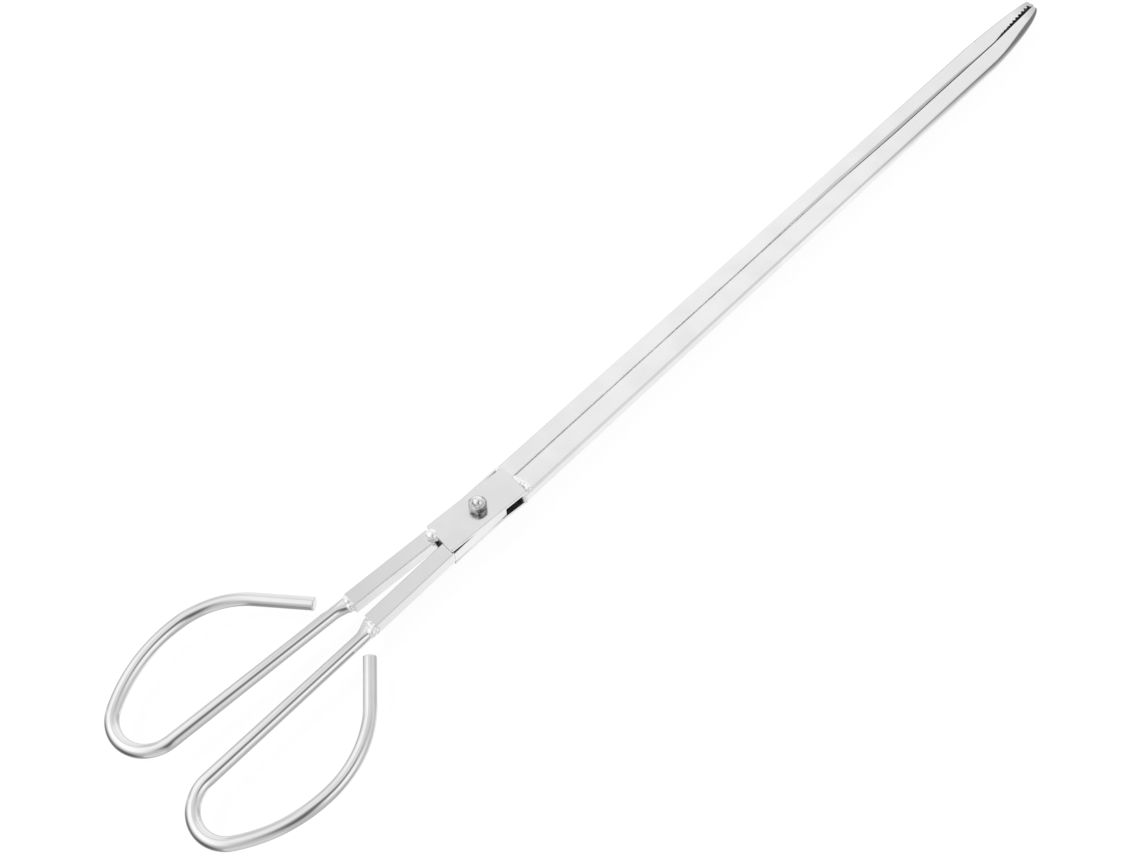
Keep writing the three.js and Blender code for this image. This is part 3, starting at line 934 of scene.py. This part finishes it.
def jaw_outline(nose, inset, tip_bend, bend_share):
    """The jaw's outer edge in plan, set in by a distance and by a share of each point's bend."""
    nose_side, reach = nose
    points = []
    for step in range(-1, TIP_POINTS + 3):
        tip_step = min(max(step, 0), TIP_POINTS)
        share = math.sin(tip_step / TIP_POINTS * math.pi / 2)
        width = max(0, 1 - share**TIP_FORWARD_POWER) ** (1 / TIP_SIDE_POWER)
        bend = bend_at(reach - TIP_TAPER * (1 - share), inset, tip_bend)
        back = inset + bend * bend_share
        side = JAW_HALF_WIDTH - back
        x = reach - back - (TIP_TAPER - back) * (1 - share)
        y = -nose_side - (side - nose_side) * width
        if step < 0 or step > TIP_POINTS + 1:
            x = BEHIND_JAW
        if step > TIP_POINTS:
            y = 2 * OVERRUN
        points.append((x, y, JAW_INNER_BEND if step > TIP_POINTS + 1 else bend))
    return points


def rounded_slab(name, nose, inset, half_height):
    """A slab on the jaw's outline with its upper and lower edges bent round."""
    rings = []
    for side, tip_bend in ((-1, TOOTHED_TIP_BEND), (1, TIP_BEND)):
        turns = quarter_turn(BEND_STEPS)
        if side > 0:
            turns.reverse()
        for turn in turns:
            ring = jaw_outline(nose, inset, tip_bend, 1 - math.sin(turn))
            drop = 1 - math.cos(turn)
            rings.append([(x, y, side * (half_height - bend * drop)) for x, y, bend in ring])
    return new_object(name, *loft(rings))


def nose_cut(nose, inset):
    """What rounds the nose towards the other jaw; grown inward, it keeps the nose's wall."""
    nose_side, reach = nose
    along = NOSE_BACK - inset
    across = nose_side + COVER_NOSE_LAP - inset
    far = reach + OVERRUN
    edge = [(far, -nose_side)]
    for turn in quarter_turn(NOSE_STEPS):
        x = reach - NOSE_BACK + along * math.cos(turn)
        edge.append((x, across * math.sin(turn) - nose_side))
    if inset > 0:
        wall_end = reach - NOSE_BACK - NOSE_WRAP
        edge += [(wall_end, COVER_NOSE_LAP - inset), (wall_end, 3 * OVERRUN)]
    else:
        edge.append((reach - NOSE_BACK, 3 * OVERRUN))
    edge.append((far, 3 * OVERRUN))
    return prism("nose cut", edge, -2 * OVERRUN, 2 * OVERRUN)


def toothed_edge():
    edge = [
        (BEHIND_JAW, -TOOTHED_SETBACK),
        (SEAM_STEP_START, -TOOTHED_SETBACK),
        (SEAM_STEP_END, -TOOTHED_MID_SETBACK),
        (COVER_OPENING, -TOOTHED_MID_SETBACK),
        (TEETH_END - TOOTH_COUNT * TOOTH_PITCH, -TOOTHED_NEAR_SETBACK),
    ]
    fall = (TOOTHED_NOSE_SETBACK - TOOTHED_NEAR_SETBACK) / TOOTH_COUNT
    for tooth in range(TOOTH_COUNT):
        share = tooth / (TOOTH_COUNT - 1)
        depth = FIRST_TOOTH_DEPTH + (LAST_TOOTH_DEPTH - FIRST_TOOTH_DEPTH) * share
        x, y = edge[-1]
        edge.append((x + TOOTH_PITCH / 2, y - fall / 2 - depth))
        edge.append((x + TOOTH_PITCH, y - fall))
    edge.pop()
    edge.append((edge[-1][0] + LAST_TOOTH_RISE, -TOOTHED_NOSE_LIP))
    edge.append((FAR_END, -TOOTHED_NOSE_LIP))
    return edge


def flange_cut(name, edge, low, high):
    """Everything past a flange's edge, towards the other jaw."""
    outline = [*edge, (FAR_END, 3 * OVERRUN), (BEHIND_JAW, 3 * OVERRUN)]
    return prism(name, outline, low, high)


def lip_cut(top):
    """What the slope along the wide flange's edge leaves free."""
    fall = LIP_DROP * (LIP_WIDTH + LIP_PAST) / LIP_WIDTH
    rings = []
    for x, y in COVER_EDGE:
        ring = [
            (x, y - LIP_WIDTH, top + OVERRUN),
            (x, y - LIP_WIDTH, top),
            (x, y + LIP_PAST, top - fall),
            (x, y + LIP_PAST, top + OVERRUN),
        ]
        rings.append(ring)
    return skin("lip cut", rings)


def roll_cut(top):
    """What the rolled edge of the toothed flange leaves free."""
    steepness = (ROLL_FALL - ROLL_MID_FALL) / ROLL_MID_WIDTH
    rings = []
    for x, y, share in ROLLED_EDGE:
        ring = [
            (x, y - ROLL_WIDTH * share, -top - OVERRUN),
            (x, y + ROLL_PAST, -top - OVERRUN),
            (x, y + ROLL_PAST, -top + ROLL_FALL * share + ROLL_PAST * steepness),
            (x, y - ROLL_MID_WIDTH * share, -top + ROLL_MID_FALL * share),
            (x, y - ROLL_WIDTH * share, -top),
        ]
        rings.append(ring)
    return skin("roll cut", rings)


def start_cut(top):
    """Everything behind the jaw's start."""
    low = (JAW_START - 3 * OVERRUN, -JAW_HALF_WIDTH - OVERRUN, -top - OVERRUN)
    high = (JAW_START, 4 * OVERRUN, top + OVERRUN)
    return block("start cut", low, high)


def jaw(letter):
    top = (JAW_HIGH - JAW_LOW) / 2
    nose = NOSES[letter]
    obj = rounded_slab(f"jaw_channel_{letter}", nose, 0, top)
    hollow = rounded_slab("hollow", nose, JAW_WALL, top - JAW_WALL)
    for mesh in (obj.data, hollow.data):
        mesh.materials.append(SHEET)
        mesh.materials.append(JAW_INSIDE_SHADE)
    combine(hollow, nose_cut(nose, JAW_WALL))
    # The faces that the hollow leaves in the jaw take the dull material, darkened with painted
    # shade
    for face in hollow.data.polygons:
        face.material_index = 1
    combine(obj, nose_cut(nose, 0))
    combine(obj, hollow)
    combine(obj, flange_cut("cover cut", COVER_EDGE, 0, top + OVERRUN))
    combine(obj, flange_cut("tooth cut", toothed_edge(), -top - OVERRUN, RUN / 2))
    combine(obj, lip_cut(top))
    combine(obj, roll_cut(top))
    combine(obj, start_cut(top))
    obj.data.transform(PLACE[letter])
    soften(obj, SHEET_EDGE)
    finish_piece(obj, f"jaw_{letter}", BODY[letter], "sheet_steel", SHEET, JAW_INSIDE_SHADE)


# Pivot plate and bracket


def bolt_hole(low, high):
    """What the bolt's hole takes out of a plate between two levels."""
    outline = []
    for angle in full_turn(HOLE_SIDES):
        outline.append((BOLT_HOLE_RADIUS * math.cos(angle), BOLT_HOLE_RADIUS * math.sin(angle)))
    return prism("hole", outline, low - OVERRUN, high + OVERRUN)


def pivot_plate():
    half = PLATE_WIDTH / 2
    corners = [
        (-PLATE_BACK, -half, PLATE_CORNER),
        (PLATE_FRONT, -half, PLATE_CORNER),
        (PLATE_FRONT, half, PLATE_CORNER),
        (-PLATE_BACK, half, PLATE_CORNER),
    ]
    turn = Matrix.Rotation(ARMS["a"]["angle"], 4, "Z")
    obj = prism("pivot_top_plate", rounded(corners), PLATE_LOW, PLATE_HIGH, turn)
    combine(obj, bolt_hole(PLATE_LOW, PLATE_HIGH))
    soften(obj, PLATE_EDGE, segments=3)
    # The underside takes the dark material of painted shade
    for face in obj.data.polygons:
        face.material_index = 1 if face.normal.z < -SQUARE_ON else 0
    finish_piece(obj, "pivot_plate_a", "arm_a", "sheet_steel", PLATE_SHEET, PIVOT_SHADE)


def bracket():
    """Arm B's bracket: a base under the plate, with a wall to the handle bar and one to the jaw."""
    lean = math.sin(ARMS["b"]["angle"]) * BAR_TO_PIVOT
    handle_face = lean - ARMS["b"]["offset"] - BAR_WIDTH / 2
    jaw_face = JAW_HALF_WIDTH - SEAT
    low = 2 * MIDDLE - PLATE_HIGH
    high = 2 * MIDDLE - PLATE_LOW
    wall_top = PLATE_LOW - SEAT
    outline = [
        (-PLATE_BACK, handle_face),
        (0, handle_face),
        (HANDLE_WALL_REACH, handle_face - BRACKET_LEDGE),
        (PLATE_FRONT, handle_face - BRACKET_FLARE),
        (PLATE_FRONT, jaw_face),
        (-JAW_WALL_REACH, jaw_face),
        (-PLATE_BACK, handle_face + BRACKET_BACK_WIDTH),
    ]
    obj = prism("pivot_lower_bracket", outline, low, high)
    start = JOINT - BAR_TO_PIVOT
    side = [
        (start, low),
        (HANDLE_WALL_REACH, low),
        (HANDLE_WALL_REACH, wall_top),
        (start + RAMP_LENGTH, wall_top),
        (start, wall_top - RAMP_DROP),
    ]
    stand = Matrix.Rotation(math.pi / 2, 4, "X")
    handle_wall = prism("handle wall", side, -handle_face - BRACKET_WALL, -handle_face, stand)
    combine(obj, handle_wall, "UNION")
    jaw_wall = block(
        "jaw wall",
        (-JAW_WALL_REACH, jaw_face - BRACKET_WALL, low),
        (JAW_START - SEAT, jaw_face, wall_top),
    )
    combine(obj, jaw_wall, "UNION")
    combine(obj, bolt_hole(low, high))
    soften(obj, PLATE_EDGE, segments=3)
    # The base's upper face and the walls' inner faces take the dark material of painted shade
    for face in obj.data.polygons:
        inner_base = face.normal.z > SQUARE_ON and face.center.z < MIDDLE
        inner_wall = abs(face.normal.y) > SQUARE_ON and face.center.y * face.normal.y < 0
        face.material_index = 1 if inner_base or inner_wall else 0
    finish_piece(obj, "pivot_bracket_b", "arm_b", "sheet_steel", PLATE_SHEET, PIVOT_SHADE)


# Bolt, nut, sleeve and washers


def hex_radius(angle):
    sector = math.pi / 3
    return ACROSS_FLATS / 2 / math.cos((angle % sector) - sector / 2)


def worn_hex_radius(angle):
    """The nut's outline, its corners worn towards a circle."""
    return NUT_ROUND + (hex_radius(angle) - NUT_ROUND) * NUT_HEX_SHARE


def circle(radius, level):
    turns = full_turn(NUT_SIDES, NUT_TURN)
    return [(radius * math.cos(turn), radius * math.sin(turn), level) for turn in turns]


def hex_ring(radius_at, share, level, slope=0, flat_radius=0):
    """A ring on a hexagon, shrunk to a share; it rises by the slope past the flat radius."""
    ring = []
    for angle in full_turn(NUT_SIDES):
        reach = radius_at(angle)
        radius = reach * share
        turn = angle + NUT_TURN
        rise = (reach - flat_radius) * slope
        ring.append((radius * math.cos(turn), radius * math.sin(turn), level + rise))
    return ring


def cap_nut():
    low, high = levels("cap_nut")
    hex_top = low + NUT_HEX_HEIGHT
    dome_centre = high - NUT_DOME_RADIUS
    rings = [hex_ring(worn_hex_radius, share, low + height) for share, height in NUT_FOOT]
    rings.append(hex_ring(worn_hex_radius, 1, hex_top, -NUT_CHAMFER_SLOPE, NUT_FACE_RADIUS))
    rings.append(circle(NUT_FACE_RADIUS, hex_top))
    for turn in quarter_turn(NUT_FILLET_STEPS):
        radius = NUT_DOME_RADIUS + NUT_FILLET * (1 - math.sin(turn))
        rings.append(circle(radius, hex_top + NUT_FILLET * (1 - math.cos(turn))))
    for turn in quarter_turn(NUT_DOME_STEPS)[:-1]:
        radius = NUT_DOME_RADIUS * math.cos(turn)
        rings.append(circle(radius, dome_centre + NUT_DOME_RADIUS * math.sin(turn)))
    obj = skin("domed_nut", rings)
    shade(obj, HEX_SHARP_ANGLE)
    # The faces beyond the dome's face, the flats, take the material with painted shade
    for face in obj.data.polygons:
        reach = math.hypot(face.center.x, face.center.y)
        face.material_index = 1 if reach > NUT_FACE_RADIUS else 0
    finish_piece(obj, "cap_nut", "arm_b", "fastener", PLATED, SHADED_NUT_FLATS)


def bolt():
    low, high = levels("pivot_bolt")
    head_top = levels("head_washer")[0] - SEAT
    rings = [
        circle(HEAD_FACE_RADIUS, low),
        hex_ring(hex_radius, 1, low, HEAD_CHAMFER_SLOPE, HEAD_FACE_RADIUS),
        hex_ring(hex_radius, 1, head_top),
        circle(BOLT_RADIUS, head_top),
        circle(BOLT_RADIUS, high - BOLT_RADIUS * (1 - BOLT_END_SHARE)),
        circle(BOLT_RADIUS * BOLT_END_SHARE, high),
    ]
    obj = skin("hex_bolt", rings)
    shade(obj, HEX_SHARP_ANGLE)
    finish_piece(obj, "pivot_bolt", "arm_b", "fastener", PLATED)


def ring_piece(node, name):
    """A washer or the sleeve, as wide and tall as its node, with its edges broken."""
    box_low, box_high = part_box(node)
    inner, outer = BOLT_HOLE_RADIUS, (box_high.x - box_low.x) / 2
    low, high, edge = box_low.z, box_high.z, WASHER_EDGE
    section = [
        (inner, low + edge),
        (inner + edge, low),
        (outer - edge, low),
        (outer, low + edge),
        (outer, high - edge),
        (outer - edge, high),
        (inner + edge, high),
        (inner, high - edge),
    ]
    rings = []
    for angle in full_turn(RING_SIDES):
        rings.append([(r * math.cos(angle), r * math.sin(angle), z) for r, z in section])
    obj = skin(name, rings, closed=True)
    shade(obj)
    finish_piece(obj, node, "arm_b", "fastener", PLATED)


# Welds


def weld(name, node, drops, place, letter):
    """A weld of overlapping drops, each a centre, a radius and a flatness, fused to one skin."""
    work = bmesh.new()
    for centre, radius, flatness in drops:
        size = Matrix.Diagonal((radius, radius, radius * flatness, 1))
        drop = Matrix.Translation(centre) @ size
        bmesh.ops.create_icosphere(work, subdivisions=DROP_DETAIL, radius=1, matrix=drop)
    mesh = bpy.data.meshes.new(name)
    work.to_mesh(mesh)
    work.free()
    mesh.transform(place)
    obj = put_in_scene(name, mesh)
    fuse = obj.modifiers.new("fuse", "REMESH")
    fuse.mode = "VOXEL"
    fuse.voxel_size = WELD_VOXEL
    relax = obj.modifiers.new("relax", "SMOOTH")
    relax.iterations = WELD_SMOOTHING
    bake(obj)
    obj.data.shade_smooth()
    finish_piece(obj, node, BODY[letter], "weld", WELD)


def loop_weld(letter, seed):
    """Drops round the beaten rod and over the bar's end."""
    offset = ARMS[letter]["offset"]
    rod_middle = offset + ARMS[letter]["outset"]
    reach = ROD_RADIUS * ROUND_REACH_SHARE
    dice = random.Random(seed)
    drops = []
    for drop in range(ROUND_DROPS):
        jitter = dice.uniform(-ROUND_JITTER, ROUND_JITTER)
        angle = 2 * math.pi * (drop + jitter) / ROUND_DROPS
        radius = dice.uniform(*ROUND_RADII) * MM
        at = (
            -BAR_FAR - dice.uniform(*ROUND_BACK) * MM,
            rod_middle - ROUND_IN * MM + reach * math.cos(angle),
            reach * ROUND_FLATNESS * math.sin(angle),
        )
        drops.append((at, radius, 1))
    spread = BAR_WIDTH / 2 - END_INSET * MM
    for across in (-1, 0, 1):
        for up in (-1, 0, 1):
            at = (-BAR_FAR + END_FORWARD * MM, offset + across * spread, up * spread)
            drops.append((at, dice.uniform(*END_RADII) * MM, 1))
    if letter == "b":
        at = (-BAR_FAR - LARGE_BACK * MM, rod_middle + LARGE_OUT * MM, -LARGE_DOWN * MM)
        drops.append((at, LARGE_RADIUS * MM, 1))
    weld(f"rod_weld_{letter}", f"loop_weld_{letter}", drops, HANDLE_PLACE[letter], letter)


def bar_weld(letter, seed):
    """The weld that joins the bar's end to the plate or the bracket."""
    dice = random.Random(seed)
    outer = ARMS[letter]["offset"] + BAR_WIDTH / 2
    level = (PLATE_LOW + PLATE_HIGH) / 2 - MIDDLE
    drops = []
    if letter == "a":
        at = (-PLATE_BACK - BLOB_BACK * MM, outer - BLOB_IN * MM, level - BLOB_DOWN * MM)
        drops.append((at, BLOB_RADIUS * MM, BLOB_FLATNESS))
    for step in range(SEAM_DROPS):
        share = step / (SEAM_DROPS - 1)
        at = (
            -PLATE_BACK - dice.uniform(*SEAM_BACK) * MM,
            outer - (SEAM_START + SEAM_LENGTH * share) * MM,
            level - SEAM_DOWN * MM,
        )
        radius = dice.uniform(*SEAM_RADII) * SEAM_SIZE[letter] * MM
        drops.append((at, radius, SEAM_FLATNESS))
    weld(f"plate_weld_{letter}", f"bar_weld_{letter}", drops, HANDLE_PLACE[letter], letter)


def jaw_weld(letter, seed):
    """A rippled bead along the plate's front edge, over the jaw's start, and its drip."""
    dice = random.Random(seed)
    top = (JAW_HIGH - JAW_LOW) / 2
    drops = []
    for step in range(BEAD_DROPS):
        share = step / (BEAD_DROPS - 1)
        at = (
            PLATE_FRONT + dice.uniform(*BEAD_FORWARD) * MM,
            -JAW_HALF_WIDTH + (BEAD_START + BEAD_LENGTH * share) * MM,
            top + BEAD_UP * MM,
        )
        drops.append((at, dice.uniform(*BEAD_RADII) * MM, 1))
    for step in range(DRIP_DROPS):
        at = (
            PLATE_FRONT - (DRIP_BACK - DRIP_FORWARD_STEP * step) * MM,
            -JAW_HALF_WIDTH + DRIP_IN * MM,
            top - DRIP_DOWN_STEP * step * MM,
        )
        drops.append((at, (DRIP_RADIUS - DRIP_RADIUS_STEP * step) * MM, 1))
    weld(f"jaw_bead_{letter}", f"jaw_weld_{letter}", drops, PLACE[letter], letter)


# Studio


def white_floor():
    """A floor that glows white and keeps the shadow, and that the steel doesn't mirror."""
    half = FLOOR_HALF
    corners = [(-half, -half, 0), (half, -half, 0), (half, half, 0), (-half, half, 0)]
    floor = new_object("floor", corners, [(0, 1, 2, 3)])
    material = bpy.data.materials.new("white floor")
    material.use_nodes = True
    tree = material.node_tree
    nodes = tree.nodes
    nodes.clear()
    diffuse = nodes.new("ShaderNodeBsdfDiffuse")
    diffuse.inputs["Color"].default_value = WHITE
    glow = nodes.new("ShaderNodeEmission")
    glow.inputs["Color"].default_value = WHITE
    glow.inputs["Strength"].default_value = FLOOR_GLOW
    lit = mix_shaders(tree, FLOOR_GLOW_SHARE, diffuse, glow)
    rays = nodes.new("ShaderNodeLightPath")
    clear = nodes.new("ShaderNodeBsdfTransparent")
    seen = mix_shaders(tree, rays.outputs["Is Glossy Ray"], lit, clear)
    out = nodes.new("ShaderNodeOutputMaterial")
    tree.links.new(seen.outputs[0], out.inputs["Surface"])
    floor.data.materials.append(material)


def sky_patch(tree, bearing, elevation, patch):
    """How far the mirrored direction lies inside a soft elliptic patch, 0 to 1."""
    turn, rise, half_width, half_height, softness, _ = patch
    offset = calculate(tree, "SUBTRACT", bearing, math.radians(turn))
    wrapped = calculate(tree, "WRAP", offset, math.pi, -math.pi)
    across = calculate(tree, "DIVIDE", wrapped, math.radians(half_width))
    lift = calculate(tree, "SUBTRACT", elevation, math.radians(rise))
    up = calculate(tree, "DIVIDE", lift, math.radians(half_height))
    across_squared = calculate(tree, "MULTIPLY", across, across)
    squared = calculate(tree, "MULTIPLY_ADD", up, up, across_squared)
    distance = calculate(tree, "SQRT", squared)
    return ramp(tree, distance, 1 + softness, 1 - softness, soft=True)


def plain_background(tree, strength):
    background = tree.nodes.new("ShaderNodeBackground")
    background.inputs["Color"].default_value = WHITE
    feed(tree, strength, background.inputs["Strength"])
    return background


def studio_world():
    """White to the camera and an even light; polished metal mirrors soft pale and dark patches."""
    world = bpy.data.worlds.new("studio")
    bpy.context.scene.world = world
    world.use_nodes = True
    tree = world.node_tree
    tree.nodes.clear()
    direction = split(tree, "ShaderNodeTexCoord", "Generated")
    bearing = calculate(tree, "ARCTAN2", direction["Y"], direction["X"])
    elevation = calculate(tree, "ARCSINE", direction["Z"])
    level = LOW_SKY
    for patch in SKY_PATCHES:
        blend = tree.nodes.new("ShaderNodeMix")
        feed(tree, sky_patch(tree, bearing, elevation, patch), blend.inputs["Factor"])
        feed(tree, level, blend.inputs["A"])
        feed(tree, patch[-1], blend.inputs["B"])
        level = blend.outputs["Result"]
    mirrored = plain_background(tree, level)
    even = plain_background(tree, WORLD_LEVEL)
    white = plain_background(tree, 1)
    rays = tree.nodes.new("ShaderNodeLightPath")
    lighting = mix_shaders(tree, rays.outputs["Is Glossy Ray"], even, mirrored)
    seen = mix_shaders(tree, rays.outputs["Is Camera Ray"], lighting, white)
    out = tree.nodes.new("ShaderNodeOutputWorld")
    tree.links.new(seen.outputs[0], out.inputs["Surface"])


def key_lamp():
    """A soft lamp that leaves no highlight of its own."""
    data = bpy.data.lights.new("softbox", "AREA")
    data.shape = "RECTANGLE"
    data.size, data.size_y = LAMP_SIZE
    data.energy = LAMP_POWER
    lamp = put_in_scene("softbox", data)
    lamp.location = LAMP_PLACE
    lamp.visible_glossy = False
    aim = Vector(LAMP_AIM) - lamp.location
    lamp.rotation_euler = aim.to_track_quat("-Z", "Y").to_euler()


def photo_camera():
    """A camera at the photograph's angle, with the plate over the bolt where the photo shows it."""
    sideways, forward = math.sin(CAMERA_TURN), math.cos(CAMERA_TURN)
    upward, level = math.sin(CAMERA_ELEVATION), math.cos(CAMERA_ELEVATION)
    right = Vector((forward, -sideways, 0))
    up = Vector((sideways * upward, forward * upward, level))
    back = Vector((-sideways * level, -forward * level, upward))
    across = (PIVOT_PIXEL[0] - IMAGE_WIDTH / 2) / FOCAL_PIXELS
    rise = (IMAGE_HEIGHT / 2 - PIVOT_PIXEL[1]) / FOCAL_PIXELS
    ray = right * across + up * rise - back
    distance = FOCAL_PIXELS / PIVOT_PIXELS_PER_METRE
    data = bpy.data.cameras.new("camera")
    data.sensor_fit = "HORIZONTAL"
    data.sensor_width = SENSOR_WIDTH
    data.lens = FOCAL_PIXELS * SENSOR_WIDTH / IMAGE_WIDTH
    data.clip_start = CLIP_START
    data.clip_end = CLIP_END
    camera = put_in_scene("camera", data)
    turn = Matrix((right, up, back)).transposed().to_4x4()
    camera.matrix_world = Matrix.Translation(Vector((0, 0, PLATE_HIGH)) - ray * distance) @ turn
    bpy.context.scene.camera = camera


photo_camera()
for letter, (loop_seed, bar_seed, jaw_seed) in WELD_SEEDS.items():
    finger_loop(letter)
    handle_bar(letter)
    jaw(letter)
    loop_weld(letter, loop_seed)
    bar_weld(letter, bar_seed)
    jaw_weld(letter, jaw_seed)
pivot_plate()
bracket()
cap_nut()
bolt()
for node, name in (
    ("head_washer", "washer_under_head"),
    ("lower_washer", "washer_low"),
    ("upper_washer", "washer_high"),
    ("spacer_sleeve", "sleeve"),
):
    ring_piece(node, name)
white_floor()
studio_world()
key_lamp()
bpy.context.scene.view_settings.view_transform = "Standard"
